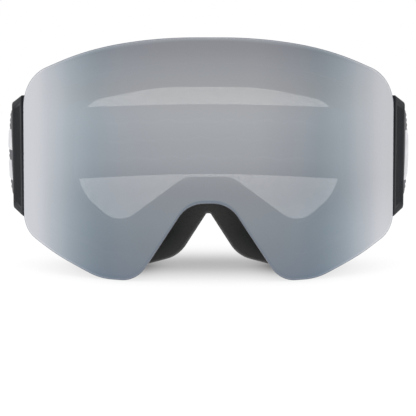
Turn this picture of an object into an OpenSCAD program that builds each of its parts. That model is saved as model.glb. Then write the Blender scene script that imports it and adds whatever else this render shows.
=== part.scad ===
// Ski goggles: cylindrical double lens on a magnetic carrier, soft frame with layered face foam,
// two hinged outriggers and an elastic strap with two sliding adjusters.
// Millimetres. +X is the wearer's left-right width, the lens faces -Y, +Z is up.
// The origin lies on the floor, in the plane of symmetry, midway between lens front and strap rear.

/* [View] */
// Sub-part to show

/* [Overall] */
// Lens front to strap rear
depth = 205; // [200:1:215]
// Height of the middle of strap and outriggers above the floor
strap_z = 54; // [52:1:56]

/* [Lens] */
// Radius of the outer lens face
lens_r = 107.6; // [106:0.2:110]
// Thickness of the outer lens
outer_t = 1.2; // [1:0.1:1.4]
// Thickness of the spacer between the lenses
gasket_t = 2.5; // [2:0.1:3]
// Thickness of the inner lens
inner_t = 0.8; // [0.6:0.1:1]
// Thickness of the lens carrier
carrier_t = 2.0; // [1.8:0.1:2.4]
// Gap between the lens carrier and the frame
seat_gap = 0.3; // [0.3:0.1:0.6]

/* [Frame] */
// Thickness of the front ring
frame_t = 4.0; // [3.5:0.1:4.5]
// Wall of the skirt between front ring and flange
skirt_wall = 1.8; // [1.5:0.1:2.2]
// Face flange behind the lens front, on the centre line
flange_depth = 42; // [40:1:44]
// Radius of the face curve
face_r = 145; // [140:1:150]
// Thickness of the face flange
flange_t = 2.0; // [1.6:0.1:2.4]

/* [Foam] */
// Firm layer on the flange
foam_base_t = 6.0; // [4:0.5:8]
// Soft middle layer
foam_mid_t = 5.5; // [4:0.5:8]
// Fleece against the face
fleece_t = 1.6; // [1:0.2:2]

/* [Strap] */
// Width of the webbing
strap_h = 43; // [40:1:44]
// Thickness of the webbing
strap_t = 2.0; // [1.6:0.1:2.2]
// Height of the sliding adjusters
slider_h = 50; // [49:1:54]

/* [Outrigger] */
// Radius of the hinge pins
pin_r = 1.5; // [1.2:0.1:1.6]
// Radius of the bars that hold the strap
bar_r = 1.5; // [1.2:0.1:1.6]
// Running clearance of the hinge pins, on the radius
running = 0.05; // [0.02:0.01:0.08]

/* [Hidden] */
$fn = 96;

function yy(d) = d - depth / 2;             // depth behind the lens front to row Y
axis_y = yy(lens_r);                        // vertical axis of the lens cylinder
face_y = yy(flange_depth + face_r);         // vertical axis of the face curve

// radii of the lens stack, from the front
r1 = lens_r - outer_t;
r2 = r1 - gasket_t;
r3 = r2 - inner_t;
r4 = r3 - carrier_t;
r5 = r4 - seat_gap;
r6 = r5 - frame_t;

// radii of the layers behind the flange
f1 = face_r;
f2 = f1 - foam_base_t;
f3 = f2 - foam_mid_t;
f4 = f3 - fleece_t;

/* ---------- outlines: [x, z, fillet radius] for the right half, from the top middle ---------- */
lens_half = [[22, 107, 220], [53, 102.6, 150], [87.4, 90.56, 12], [87.4, 17.8, 12],
    [48.9, 0, 30], [31.75, 0, 13], [7, 35, 13]];
face_half = [[22, 102.8, 200], [52.5, 98.8, 130], [83, 88, 13], [83, 17, 14],
    [54, 0, 30], [36, 0, 25], [14.5, 6.5, 9], [1.2, 25.6, 1.6]];
open_half = [[24, 86.8, 120], [64, 79, 16], [65, 36, 22], [44, 18.5, 13], [11, 43, 12]];

function unit(v) = v / norm(v);
function at(p, i) = p[(i + len(p)) % len(p)];
function xy(p) = [p[0], p[1]];
// a half outline and its mirror image, as one closed loop
function both(h) = concat(h, [for (i = [len(h) - 1:-1:0]) [-h[i][0], h[i][1], h[i][2]]]);
function cross2(a, b) = a[0] * b[1] - a[1] * b[0];
// the loop runs clockwise, so a right turn is a convex corner
function convex(p, i) = cross2(xy(at(p, i)) - xy(at(p, i - 1)), xy(at(p, i + 1)) - xy(at(p, i))) < 0;
function half_angle(a, b, c) = acos(max(-1, min(1, unit(a - b) * unit(c - b)))) / 2;
// every edge moved inwards by t, with concentric fillets
function inset(p, t) = [for (i = [0:len(p) - 1])
    let (a = xy(at(p, i - 1)), b = xy(p[i]), c = xy(at(p, i + 1)), s = convex(p, i) ? 1 : -1,
        v = b + s * t / sin(half_angle(a, b, c)) * unit(unit(a - b) + unit(c - b)))
    [v[0], v[1], max(0.4, p[i][2] - s * t)]];
function corner(a, b, c, r) =
    let (h = half_angle(a, b, c), q = b + unit(unit(a - b) + unit(c - b)) * r / sin(h),
        p0 = b + unit(a - b) * r / tan(h) - q, p1 = b + unit(c - b) * r / tan(h) - q,
        a0 = atan2(p0[1], p0[0]), raw = atan2(p1[1], p1[0]) - a0,
        da = raw - 360 * round(raw / 360), n = max(2, ceil(abs(da) / 9)))
    [for (k = [0:n]) q + r * [cos(a0 + da * k / n), sin(a0 + da * k / n)]];
function rounded(p) = [for (i = [0:len(p) - 1])
    each corner(xy(at(p, i - 1)), xy(p[i]), xy(at(p, i + 1)), p[i][2])];

lens_loop = both(lens_half);
face_loop = both(face_half);
open_loop = both(open_half);

/* ---------- helpers ---------- */
// a front-view outline carried along Y, from depth d0 to depth d1
module along_y(d0, d1) {
    translate([0, yy(d1), 0]) rotate([90, 0, 0]) linear_extrude(height = d1 - d0) children();
}
module outline(p, t = 0) { polygon(rounded(inset(p, t))); }
module band(p, t0, t1) {
    difference() { outline(p, t0); outline(p, t1); }
}
module drum(y, r) { translate([0, y, -5]) cylinder(r = r, h = 125); }
module shell(y, ro, ri) {
    difference() { drum(y, ro); drum(y, ri); }
}
module both_sides() { children(); mirror([1, 0, 0]) children(); }
module on_left() { mirror([1, 0, 0]) children(); }

/* ---------- lens ---------- */
// depths that clear every lens part at front and rear
before = -5;
behind = 66;
// the spacer starts this far inside the lens edge, and is this wide
gasket_in = 2.5;
gasket_w = 5;
module outer_lens() color([0.62, 0.65, 0.70, 0.75]) intersection() {
    shell(axis_y, lens_r, r1);
    along_y(before, behind) outline(lens_loop);
}
module lens_gasket() color([0.12, 0.12, 0.13]) intersection() {
    shell(axis_y, r1, r2);
    along_y(before, behind) band(lens_loop, gasket_in, gasket_in + gasket_w);
}
module inner_lens() color([0.85, 0.87, 0.90, 0.3]) intersection() {
    shell(axis_y, r2, r3);
    along_y(before, behind) outline(lens_loop, gasket_in);
}
// carrier and front ring start this far inside the lens edge, and are this wide
ring_in = 4;
ring_w = 7;
// magnet seats, as [x, z], on the ring of carrier and frame
seats = [[28, 98.2], [62, 91.6], [79.9, 54], [56, 11.5]];
magnet_r = 3;
magnet_t = 1.3;
magnet_sink = 0.1;          // magnets lie this far under the faces that meet
// a disc at every seat, its front at radius r of the lens cylinder
module magnet_set(r, t) {
    for (s = seats, m = [-1, 1])
        translate([0, axis_y, s[1]]) rotate([0, 0, m * asin(s[0] / r4)])
            translate([0, -r, 0]) rotate([-90, 0, 0]) cylinder(r = magnet_r, h = t, $fn = 48);
}
module lens_carrier() color([0.10, 0.10, 0.11]) difference() {
    intersection() {
        shell(axis_y, r3, r4);
        along_y(before, behind) band(lens_loop, ring_in, ring_in + ring_w);
    }
    magnet_set(r4 + magnet_t + magnet_sink, 2 * magnet_t);
}
module lens_magnets() color([0.70, 0.70, 0.72]) magnet_set(r4 + magnet_t + magnet_sink, magnet_t);

/* ---------- frame ---------- */
// hinge axis of the right outrigger, as [x, depth]
hinge = [87.9, 61.0];
knuckle_r = 2.9;
pin_l = 42;
lug_h = 10.4;
module lug(z0) {
    translate([0, 0, z0]) linear_extrude(height = lug_h) {
        polygon([[78.6, yy(56.2)], [83.4, yy(54.2)], [88.9, yy(58.35)],
            [87.9, yy(63.9)], [80.4, yy(61.2)]]);
        translate([hinge[0], yy(hinge[1])]) circle(r = knuckle_r);
    }
}
// a lug at each end of both pins
module lugs() both_sides() for (z = [strap_z - pin_l / 2, strap_z + pin_l / 2 - lug_h]) lug(z);
module frame_ring() color([0.16, 0.17, 0.18]) difference() {
    union() {
        intersection() {
            shell(axis_y, r5, r6);
            along_y(before, behind) band(lens_loop, ring_in, ring_in + ring_w);
        }
        lugs();
    }
    magnet_set(r5 - magnet_sink + magnet_t, 2 * magnet_t);
    both_sides() translate([hinge[0], yy(hinge[1]), 20]) cylinder(r = pin_r, h = 70);
}
module frame_magnets() color([0.70, 0.70, 0.72]) magnet_set(r5 - magnet_sink, magnet_t);

skirt_in = 5.2;             // outside of the skirt, in from the lens edge
top_vents = [[-41, 25, 17], [0, 16.5, 19], [41, 25, 17]];  // middle x, front depth, length
top_vent_w = 32;
low_vent_at = [66, 46, 7];  // x, depth and height of the right lower vent
low_vent_a = 25;
low_vent_size = [26, 10, 20];
module vent_cutters() {
    for (v = top_vents)
        translate([v[0] - top_vent_w / 2, yy(v[1]), 85]) cube([top_vent_w, v[2], 30]);
    both_sides() translate([low_vent_at[0], yy(low_vent_at[1]), low_vent_at[2]])
        rotate([0, -low_vent_a, 0]) translate([-low_vent_size[0] / 2, -low_vent_size[1] / 2, -12])
            cube(low_vent_size);
}
module frame_skirt() color([0.14, 0.15, 0.16]) difference() {
    intersection() {
        drum(axis_y, r6);
        along_y(2, 80) band(lens_loop, skirt_in, skirt_in + skirt_wall);
    }
    drum(face_y, f1 + flange_t);
    vent_cutters();
    lugs();
}
module face_flange() color([0.14, 0.15, 0.16]) intersection() {
    shell(face_y, f1 + flange_t, f1);
    along_y(20, 90) difference() { outline(face_loop, 0.8); outline(open_loop, -2); }
}
vent_foam_t = 2;
vent_gap = 1.5;             // vent foam ends this far short of the flange
module vent_panel(x0, x1, d0, d1, z0, z1) intersection() {
    along_y(d0, d1) band(lens_loop, skirt_in + skirt_wall, skirt_in + skirt_wall + vent_foam_t);
    translate([x0, yy(d0) - 1, z0]) cube([x1 - x0, d1 - d0 + 2, z1 - z0]);
}
module top_vent_foam() color([0.22, 0.22, 0.23]) difference() {
    intersection() {
        drum(axis_y, r6 - 1);
        vent_panel(-62, 62, 10, 60, 85, 110);
    }
    drum(face_y, f1 + flange_t + vent_gap);
}
module lower_vent_foam_right() color([0.22, 0.22, 0.23]) difference() {
    intersection() {
        drum(axis_y, r6 - 1);
        vent_panel(50, 80, 30, 60, 0, 30);
    }
    drum(face_y, f1 + flange_t + vent_gap);
}
module lower_vent_foam_left() on_left() lower_vent_foam_right();

/* ---------- face foam ---------- */
module foam_layer(ro, ri, t) intersection() {
    shell(face_y, ro, ri);
    along_y(20, 110) difference() { outline(face_loop, t); outline(open_loop, -t); }
}
module foam_base() color([0.25, 0.26, 0.27]) foam_layer(f1, f2, 0);
module foam_mid() color([0.33, 0.34, 0.35]) foam_layer(f2, f3, 0);
module face_fleece() color([0.08, 0.08, 0.09]) foam_layer(f3, f4, 0.8);

/* ---------- outriggers, drawn for the right side ---------- */
// front corner of the cover plate as [x, depth], and its heading in plan
out_at = [88.5, 49.5];
out_a = 27;
plate_l = 15.9;
plate_t = 2.4;
plate_front = 28.8;         // half height at the lens
plate_rear = 25.3;          // half height at the strap
knuckle_h = 20.4;
// web of the knuckle and root of the arms, in the plane of the plate: corner and size
web_at = [-5, 7.6];
web_size = [4, 4.8];
arm_at = [-5.6, 11];
arm_size = [5.2, 8];
// strap loop bar, as [x, depth]
bar = [92.19, 69.46];
arm_r = 3;
arm_h = 2.9;
bar_l = 48;
arm_top = strap_z + strap_h / 2 + 0.5;
module out_frame() translate([out_at[0], yy(out_at[1]), 0]) rotate([0, 0, -out_a]) children();
// full height at the lens, lower at the strap
module cover_plate() out_frame() translate([-plate_t, 0, strap_z]) rotate([90, 0, 90])
    linear_extrude(height = plate_t)
        polygon([[0, -plate_front], [plate_l, -plate_rear], [plate_l, plate_rear], [0, plate_front]]);
module knuckle() translate([0, 0, strap_z - knuckle_h / 2]) linear_extrude(height = knuckle_h) {
    translate([hinge[0], yy(hinge[1])]) circle(r = knuckle_r);
    translate([out_at[0], yy(out_at[1])]) rotate(-out_a) translate(web_at) square(web_size);
}
module arm(z) translate([0, 0, z]) linear_extrude(height = arm_h) {
    translate([bar[0], yy(bar[1])]) circle(r = arm_r);
    translate([out_at[0], yy(out_at[1])]) rotate(-out_a) translate(arm_at) square(arm_size);
}
module outrigger_right() color([0.19, 0.19, 0.21]) difference() {
    union() {
        cover_plate();
        knuckle();
        arm(arm_top);
        arm(2 * strap_z - arm_top - arm_h);
    }
    translate([hinge[0], yy(hinge[1]), 30]) cylinder(r = pin_r + running, h = 50);
    translate([bar[0], yy(bar[1]), strap_z - bar_l / 2]) cylinder(r = bar_r, h = bar_l);
}
module outrigger_left() on_left() outrigger_right();
module hinge_pin_right() color([0.75, 0.75, 0.77])
    translate([hinge[0], yy(hinge[1]), strap_z - pin_l / 2]) cylinder(r = pin_r, h = pin_l);
module hinge_pin_left() on_left() hinge_pin_right();
module strap_bar_right() color([0.75, 0.75, 0.77])
    translate([bar[0], yy(bar[1]), strap_z - bar_l / 2]) cylinder(r = bar_r, h = bar_l);
module strap_bar_left() on_left() strap_bar_right();

/* ---------- strap: plan curves for the right side, worked out from the rear ---------- */
half_t = strap_t / 2;
side_a = 6;                 // the straight stretch closes by this angle
side_l = 49;
rear_r = 190.9;
rear_a = 23;
corner_r = 35;
front_r = 90;
front_a = -22;              // heading of the front bow where it meets the outrigger
function dir(a) = [cos(a), sin(a)];
rear_c = [0, depth - half_t - rear_r];
corner_c = rear_c + (rear_r - corner_r) * [sin(rear_a), cos(rear_a)];
side_0 = corner_c + corner_r * dir(side_a) - side_l * dir(90 + side_a);
front_c = side_0 - front_r * dir(side_a);
function on_bow(r, a) = [front_c[0] + r * cos(a), yy(front_c[1] + r * sin(a))];
module ring2(c, ro, ri, a0, a1) {
    n = ceil((a1 - a0) / 30);
    intersection() {
        translate([c[0], yy(c[1])]) difference() { circle(r = ro); circle(r = ri); }
        translate([c[0], yy(c[1])]) polygon(concat([[0, 0]], [for (k = [0:n])
            1.4 * ro * dir(a0 + (a1 - a0) * k / n)]));
    }
}
module webbing() translate([0, 0, strap_z - strap_h / 2]) linear_extrude(height = strap_h) children();
module side_frame() translate([side_0[0], yy(side_0[1]), 0]) rotate([0, 0, side_a]) children();
module side_plan() translate([side_0[0], yy(side_0[1])]) rotate(side_a) children();
// where two stretches of webbing join, one is tucked a little into the other to make one solid
tuck = 0.03;
lap = 0.5;
// the webbing bows out, wraps the bar and comes back to its own inner face
loop_i = bar_r + 0.3;       // webbing stands a little off the bar
loop_o = loop_i + strap_t;
function off_bar(r) = [bar[0] - r * cos(front_a), yy(bar[1] - r * sin(front_a))];
module strap_front_right() color([0.36, 0.36, 0.39]) webbing() {
    ring2(front_c, front_r + half_t, front_r - half_t, front_a, side_a);
    ring2(bar, loop_o - 3 * tuck, loop_i + 3 * tuck, front_a - 180, front_a + 8);
    polygon([off_bar(loop_i), off_bar(loop_o), on_bow(front_r - 3 * half_t + 0.1, -11.5),
        on_bow(front_r - half_t + 0.1, -11)]);
    ring2(bar, loop_o - 4 * tuck, loop_i + 4 * tuck, front_a - 186, front_a - 170);
    ring2(front_c, front_r - half_t + 4 * tuck, front_r - 3 * half_t, -12, -5);
}
module strap_front_left() on_left() strap_front_right();
module strap_main() color([0.36, 0.36, 0.39]) webbing() {
    ring2(rear_c, rear_r + half_t, rear_r - half_t, 90 - rear_a, 90 + rear_a);
    for (m = [0, 1]) mirror([m, 0]) {
        ring2(corner_c, corner_r + half_t - tuck, corner_r - half_t + tuck, side_a - 1, 91 - rear_a);
        side_plan() translate([-half_t, 0]) square([strap_t, side_l]);
    }
}
tail_o = -4.2;              // middle of the doubled layer, inwards of the strap
tail_l = 41.2;
module strap_tail_right() color([0.30, 0.30, 0.33]) webbing() {
    side_plan() polygon([[tail_o - half_t, 0], [tail_o + half_t, 0], [tail_o + half_t, tail_l],
        [-half_t - tuck, side_l + lap], [-3 * half_t + 3 * tuck, side_l + lap], [tail_o - half_t, tail_l]]);
    ring2(corner_c, corner_r - half_t, corner_r - 3 * half_t, side_a, 34);
}
module strap_tail_left() on_left() strap_tail_right();
// elastic keeper round both layers, in the plane of the straight stretch
keeper_at = 1.6;
keeper_w = 4.4;
keeper_t = 1.2;
keeper_d = 9;
keeper_o = 2.4;             // its outside, from the middle of the strap
module strap_keeper_right() color([0.12, 0.12, 0.13]) side_frame()
    translate([keeper_o - keeper_d, keeper_at, strap_z - strap_h / 2 - 1.5]) difference() {
        cube([keeper_d, keeper_w, strap_h + 3]);
        translate([keeper_t, -1, keeper_t])
            cube([keeper_d - 2 * keeper_t, keeper_w + 2, strap_h + 3 - 2 * keeper_t]);
    }
module strap_keeper_left() on_left() strap_keeper_right();
// adjuster: two rails joined by two outer bars and one bar between the strap layers
slider_at = 24;
rail_d = 8.5;
rail_w = 9;
rail_h = 3;
slider_o = 2.9;             // its outside, from the middle of the strap
outer_bar = [1.5, 2.2];
middle_bar = [1.6, 3];
module slider_right() color([0.10, 0.10, 0.11]) side_frame()
    translate([0, slider_at, strap_z - slider_h / 2]) {
        for (z = [0, slider_h - rail_h])
            translate([slider_o - rail_d, -rail_w / 2, z]) cube([rail_d, rail_w, rail_h]);
        for (y = [-rail_w / 2, rail_w / 2 - outer_bar[1]])
            translate([slider_o - outer_bar[0], y, 0]) cube([outer_bar[0], outer_bar[1], slider_h]);
        translate([-slider_o, -middle_bar[1] / 2, 0]) cube([middle_bar[0], middle_bar[1], slider_h]);
    }
module slider_left() on_left() slider_right();
grip_t = 0.5;
grip_h = 2.5;
grip_z = [-11, 0, 11];      // the three lines, from the middle of the strap
grip_a = 2;                 // they end this angle short of the strap's rear arc
module silicone_grip() color([0.55, 0.56, 0.58]) for (z = grip_z)
    translate([0, 0, strap_z + z - grip_h / 2]) linear_extrude(height = grip_h)
        ring2(rear_c, rear_r - half_t, rear_r - half_t - grip_t, 90 - rear_a + grip_a, 90 + rear_a - grip_a);

outer_lens();
lens_gasket();
inner_lens();
lens_carrier();
lens_magnets();
frame_ring();
frame_magnets();
frame_skirt();
face_flange();
top_vent_foam();
lower_vent_foam_left();
lower_vent_foam_right();
foam_base();
foam_mid();
face_fleece();
hinge_pin_left();
hinge_pin_right();
outrigger_left();
outrigger_right();
strap_bar_left();
strap_bar_right();
strap_front_left();
strap_front_right();
strap_main();
strap_tail_left();
strap_tail_right();
strap_keeper_left();
strap_keeper_right();
slider_left();
slider_right();
silicone_grip();
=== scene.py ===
"""Ski goggles: the visual model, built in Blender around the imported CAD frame.

Lengths in the shape code are millimetres, and mesh_object() turns them into metres.
Depth means millimetres behind the front of the lens; the frame's Y is worked out from it.
"""
import math

import bmesh
import bpy
import numpy as np
from mathutils import Matrix, Vector, noise


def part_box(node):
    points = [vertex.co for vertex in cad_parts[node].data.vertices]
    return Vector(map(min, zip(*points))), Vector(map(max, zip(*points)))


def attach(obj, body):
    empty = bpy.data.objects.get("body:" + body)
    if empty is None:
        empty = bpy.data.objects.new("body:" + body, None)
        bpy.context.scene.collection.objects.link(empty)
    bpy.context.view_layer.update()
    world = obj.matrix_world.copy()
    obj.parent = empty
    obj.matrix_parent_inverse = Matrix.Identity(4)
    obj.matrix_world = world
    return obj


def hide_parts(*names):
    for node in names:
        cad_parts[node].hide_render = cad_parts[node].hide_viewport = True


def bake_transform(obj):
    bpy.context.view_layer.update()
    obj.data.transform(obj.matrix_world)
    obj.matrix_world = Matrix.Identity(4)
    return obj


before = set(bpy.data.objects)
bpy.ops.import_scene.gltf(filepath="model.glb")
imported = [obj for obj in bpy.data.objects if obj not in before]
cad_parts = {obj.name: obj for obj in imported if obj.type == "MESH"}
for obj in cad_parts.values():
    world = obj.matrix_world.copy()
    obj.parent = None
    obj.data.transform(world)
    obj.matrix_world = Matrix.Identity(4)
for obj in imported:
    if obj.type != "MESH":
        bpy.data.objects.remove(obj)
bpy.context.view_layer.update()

MM = 0.001
RNG = np.random.default_rng(7)

# ---------------------------------------------------------------- driving sizes, from the frame
FRONT_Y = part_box("outer_lens")[0].y / MM          # Y of the lens front
STRAP_LOW, STRAP_HIGH = (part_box("strap_main")[k].z / MM for k in (0, 1))
STRAP_Z = (STRAP_LOW + STRAP_HIGH) / 2
STRAP_H = STRAP_HIGH - STRAP_LOW
LENS_R = 107.6                                    # outer face of the lens
STACK = {"outer": 1.2, "gasket": 2.5, "inner": 0.8, "carrier": 2.0, "gap": 0.3, "ring": 4.0}
R1 = LENS_R - STACK["outer"]
R2 = R1 - STACK["gasket"]
R3 = R2 - STACK["inner"]
R4 = R3 - STACK["carrier"]
R5 = R4 - STACK["gap"]
R6 = R5 - STACK["ring"]
FACE_R = 145.0                                    # rear of the face flange
FLANGE_T = 2.0
FOAM = (6.0, 5.5, 1.6)                            # firm, soft, fleece
F2 = FACE_R - FOAM[0]
F3 = F2 - FOAM[1]
F4 = F3 - FOAM[2]


def y_of(depth):
    """Frame Y, in mm, of a depth behind the lens front."""
    return FRONT_Y + depth


def centre_of(node):
    """Centre of a CAD node, in mm."""
    low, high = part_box(node)
    return (low + high) / 2 / MM


LENS_AXIS = y_of(LENS_R)
FACE_AXIS = y_of(42.0 + FACE_R)
HINGE = centre_of("hinge_pin_right")
BAR = centre_of("strap_bar_right")

# right halves of the outlines seen from the front: x, z, fillet radius
LENS_HALF = [(22, 107, 220), (53, 102.6, 150), (87.4, 90.4, 19.5), (88.1, 18.8, 12),
             (70, 9.1, 120), (48.9, 0.2, 28), (31.9, 0, 13), (9.0, 35, 13)]
FACE_HALF = [(22, 102.8, 200), (52.5, 98.8, 130), (83, 88, 13), (83, 17, 14),
             (54, 0, 30), (36, 0, 25), (14.2, 6.2, 16), (1.1, 26.6, 1.2)]
OPEN_HALF = [(24, 86.8, 120), (64, 79, 16), (65, 36, 22), (44, 18.5, 13), (11, 43, 12)]
# places that correspond on the three loops, so that skins can run from one to another
LENS_ANCHORS = [(87.4, 90.56), (87.4, 17.8), (40.4, 0), (7, 35)]
FACE_ANCHORS = [(83, 88), (83, 17), (36, 0), (5, 20)]
OPEN_ANCHORS = [(64, 79), (65, 36), (44, 18.5), (11, 43)]
STEPS = (58, 44, 40, 36, 14)                      # points between anchors, on each half


# ---------------------------------------------------------------- outlines
def mirrored(half):
    """A whole outline from its right half."""
    return list(half) + [(-x, z, r) for x, z, r in reversed(half)]


def unit(v):
    return v / np.linalg.norm(v)


def inset(loop, t):
    """Every edge of a clockwise loop moved inwards by t, with concentric fillets."""
    out = []
    for i, (_, _, r) in enumerate(loop):
        a, b, c = (np.array(loop[(i + k) % len(loop)][:2], float) for k in (-1, 0, 1))
        d, e = b - a, c - b
        s = 1 if d[0] * e[1] - d[1] * e[0] < 0 else -1
        half = math.acos(np.clip(unit(a - b) @ unit(c - b), -1, 1)) / 2
        v = b + s * t / math.sin(half) * unit(unit(a - b) + unit(c - b))
        out.append((v[0], v[1], max(0.4, r - s * t)))
    return out


def rounded(loop, degrees=1.5):
    """Dense points along a loop with its fillets."""
    points = []
    for i in range(len(loop)):
        a, b, c = (np.array(loop[(i + k) % len(loop)][:2], float) for k in (-1, 0, 1))
        r = loop[i][2]
        half = math.acos(np.clip(unit(a - b) @ unit(c - b), -1, 1)) / 2
        q = b + unit(unit(a - b) + unit(c - b)) * r / math.sin(half)
        p0 = b + unit(a - b) * r / math.tan(half) - q
        p1 = b + unit(c - b) * r / math.tan(half) - q
        a0 = math.atan2(p0[1], p0[0])
        turn = math.remainder(math.atan2(p1[1], p1[0]) - a0, 2 * math.pi)
        n = max(3, math.ceil(abs(math.degrees(turn)) / degrees))
        points += [q + r * np.array([math.cos(a0 + turn * k / n), math.sin(a0 + turn * k / n)])
                   for k in range(n + 1)]
    return np.array(points)


def resampled(half, anchors, t):
    """The whole loop as points that match those of the other loops, from the top middle."""
    dense = rounded(inset(mirrored(half), t))
    dense = np.vstack([[0, dense[:, 1].max()], dense])
    right = dense[dense[:, 0] >= -1e-9]
    right = np.vstack([right, [0, right[-1, 1]]])
    along = np.concatenate([[0], np.cumsum(np.linalg.norm(np.diff(right, axis=0), axis=1))])
    at_anchors = [along[np.argmin(np.linalg.norm(right - anchor, axis=1))] for anchor in np.array(anchors)]
    marks = [0.0, *at_anchors, along[-1]]
    places = np.concatenate([np.linspace(marks[i], marks[i + 1], count, endpoint=False)
                             for i, count in enumerate(STEPS)] + [[marks[-1]]])
    side = np.column_stack([np.interp(places, along, right[:, k]) for k in (0, 1)])
    return np.vstack([side, side[-2:0:-1] * [-1, 1]])


def lens_loop(t=0.0):
    return resampled(LENS_HALF, LENS_ANCHORS, t)


def face_loop(t=0.0):
    return resampled(FACE_HALF, FACE_ANCHORS, t)


def open_loop(t=0.0):
    return resampled(OPEN_HALF, OPEN_ANCHORS, t)


def arc(centre, r, start, end, count):
    """Plan points along an arc, between two angles in degrees."""
    return [(centre[0] + r * math.cos(a), centre[1] + r * math.sin(a))
            for a in np.radians(np.linspace(start, end, count))]


def rounded_rectangle(x0, x1, y0, y1, r, count):
    """A plan outline with count points round each corner."""
    corners = ((x1 - r, y1 - r), (x0 + r, y1 - r), (x0 + r, y0 + r), (x1 - r, y0 + r))
    return [point for k, centre in enumerate(corners) for point in arc(centre, r, 90 * k, 90 * k + 90, count)]


def on_drum(points, axis, radius):
    """Front-view points laid on the front of an upright cylinder."""
    x, z = points[:, 0], points[:, 1]
    return np.column_stack([x, axis - np.sqrt(radius ** 2 - x ** 2), z])


def on_lens(points, radius):
    return on_drum(points, LENS_AXIS, radius)


def on_face(points, radius):
    return on_drum(points, FACE_AXIS, radius)


# ---------------------------------------------------------------- mesh helpers
def mesh_object(name, verts, faces, material, sharp=40.0, materials=(), face_slots=None):
    """An object from verts in millimetres, smooth but for edges sharper than the angle."""
    mesh = bpy.data.meshes.new(name)
    mesh.from_pydata((np.asarray(verts, float) * MM).tolist(), [], [list(map(int, f)) for f in faces])
    mesh.polygons.foreach_set("use_smooth", [True] * len(mesh.polygons))
    for m in (material, *materials):
        mesh.materials.append(m)
    if face_slots is not None:
        mesh.polygons.foreach_set("material_index", list(map(int, face_slots)))
    mesh.update()
    mesh.set_sharp_from_angle(angle=math.radians(sharp))
    return linked(name, mesh)


def loft_data(rings, closed=True):
    """Verts and quads between matching rings; the last one joins the first, or both ends get caps."""
    n = len(rings[0])
    verts = np.vstack(rings)
    faces = []
    for i in range(len(rings) - (0 if closed else 1)):
        a, b = i * n, ((i + 1) % len(rings)) * n
        faces += [(a + k, a + (k + 1) % n, b + (k + 1) % n, b + k) for k in range(n)]
    if not closed:
        faces.append(list(range(n))[::-1])
        faces.append(list(range((len(rings) - 1) * n, len(rings) * n)))
    return verts, faces


def fix_normals(obj):
    """Makes all faces of a closed mesh point outwards."""
    bm = bmesh.new()
    bm.from_mesh(obj.data)
    bmesh.ops.recalc_face_normals(bm, faces=bm.faces)
    bm.to_mesh(obj.data)
    bm.free()
    return obj


def lofted(name, rings, material, closed=True, sharp=40.0):
    """A solid through matching rings, closed on itself or capped at both ends."""
    verts, faces = loft_data(rings, closed)
    return fix_normals(mesh_object(name, verts, faces, material, sharp))


def apply_modifiers(obj):
    dg = bpy.context.evaluated_depsgraph_get()
    mesh = bpy.data.meshes.new_from_object(obj.evaluated_get(dg))
    obj.modifiers.clear()
    old = obj.data
    obj.data = mesh
    bpy.data.meshes.remove(old)
    return obj


def bevelled(obj, width, segments=3, angle=35.0):
    """Rounds the edges that are sharper than the angle."""
    m = obj.modifiers.new("edges", "BEVEL")
    m.width, m.segments = width * MM, segments
    m.limit_method, m.angle_limit = "ANGLE", math.radians(angle)
    m.harden_normals = False
    apply_modifiers(obj)
    obj.data.polygons.foreach_set("use_smooth", [True] * len(obj.data.polygons))
    obj.data.set_sharp_from_angle(angle=math.radians(50))
    return obj


def joined(name, objects):
    """One object from several, keeping each one's materials."""
    verts, faces, slots, mats = [], [], [], []
    for o in objects:
        base = len(verts)
        verts += [tuple(o.matrix_world @ v.co / MM) for v in o.data.vertices]
        index = []
        for m in o.data.materials:
            if m not in mats:
                mats.append(m)
            index.append(mats.index(m))
        for p in o.data.polygons:
            faces.append([base + v for v in p.vertices])
            slots.append(index[p.material_index])
        bpy.data.objects.remove(o)
    whole = mesh_object(name, verts, faces, mats[0], 50, mats[1:], slots)
    whole.data.validate()
    return whole


def cut_away(obj, cutters):
    """Takes the cutters out of a mesh and deletes them."""
    for cutter in cutters:
        m = obj.modifiers.new("cut", "BOOLEAN")
        m.operation, m.solver, m.object = "DIFFERENCE", "EXACT", cutter
    apply_modifiers(obj)
    for cutter in cutters:
        bpy.data.objects.remove(cutter)


def prism(name, outline, z0, z1, material, bevel=0.4, bore=None, place=None):
    """An upright extrusion of a plan outline, its edges bevelled, with a round bore (centre, radius)."""
    n = len(outline)
    verts = [(x, y, z) for z in (z0, z1) for x, y in outline]
    faces = [list(range(n))[::-1], list(range(n, 2 * n))]
    faces += [(k, (k + 1) % n, n + (k + 1) % n, n + k) for k in range(n)]
    obj = fix_normals(mesh_object(name, verts, faces, material))
    if bevel:
        bevelled(obj, bevel)
    if bore:
        cut_away(obj, [round_bar("cut", *bore, z0 - 2, z1 + 2, material)])
    if place is not None:
        obj.data.transform(place)
    return obj


def round_bar(name, centre, r, z0, z1, material, sides=40):
    """An upright cylinder that serves as a cutter."""
    a = np.arange(sides) * 2 * math.pi / sides
    ring = np.column_stack([centre[0] + r * np.cos(a), centre[1] + r * np.sin(a), np.zeros(sides)])
    return lofted(name, [ring + [0, 0, z] for z in (z0, z1)], material, closed=False)


def set_uv(obj, values):
    """One UV pair per vertex, spread to the face corners."""
    layer = obj.data.uv_layers.new(name="Path")
    loops = np.zeros(len(obj.data.loops), int)
    obj.data.loops.foreach_get("vertex_index", loops)
    layer.data.foreach_set("uv", np.asarray(values, np.float32)[loops].ravel())


def linked(name, data):
    """A new object in the scene."""
    obj = bpy.data.objects.new(name, data)
    bpy.context.scene.collection.objects.link(obj)
    return obj


def mirror_x(obj, name):
    """The mirror image of an object as a new one."""
    mesh = obj.data.copy()
    mesh.transform(Matrix.Scale(-1, 4, (1, 0, 0)))
    mesh.flip_normals()
    return linked(name, mesh)


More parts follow.
